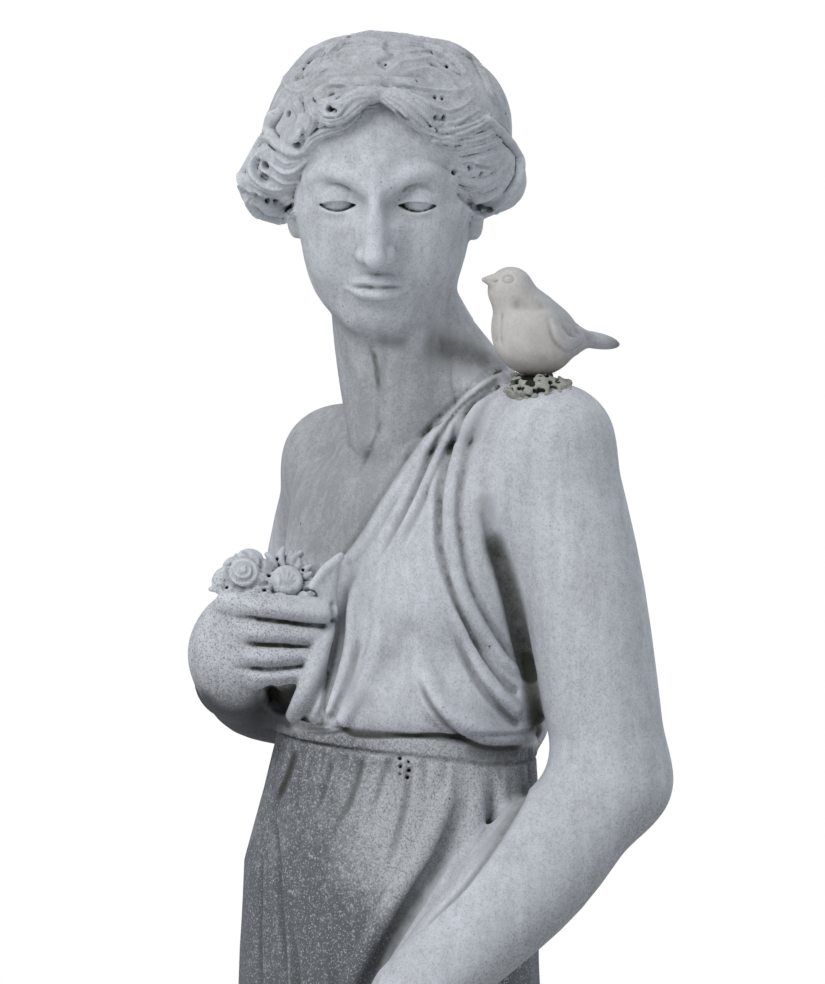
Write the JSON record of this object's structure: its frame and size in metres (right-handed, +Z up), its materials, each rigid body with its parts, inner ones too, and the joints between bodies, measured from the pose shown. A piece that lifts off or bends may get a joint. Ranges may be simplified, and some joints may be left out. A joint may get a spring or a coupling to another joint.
{
  "type": "garden statuette",
  "caption": "Standing maiden in a one-shouldered dress on a low round base, holding roses to the chest, with a small songbird bedded on the left shoulder.",
  "frame": {"origin": "centre of the round base on the ground", "axes": "+Z up; the figure's torso faces -Y, so its left side is +X"},
  "size_m": [0.246, 0.246, 0.8409],
  "materials": {
    "cast_stone_resin": "weathered matt, cool grey, grainy",
    "bird_resin": "weathered matt, warm light grey",
    "mortar": "rough, crumbly, dark"
  },
  "bodies": {
    "root": {"figure": "cast_stone_resin", "bird": "bird_resin", "bird_bedding": "mortar"}
  },
  "joints": []
}
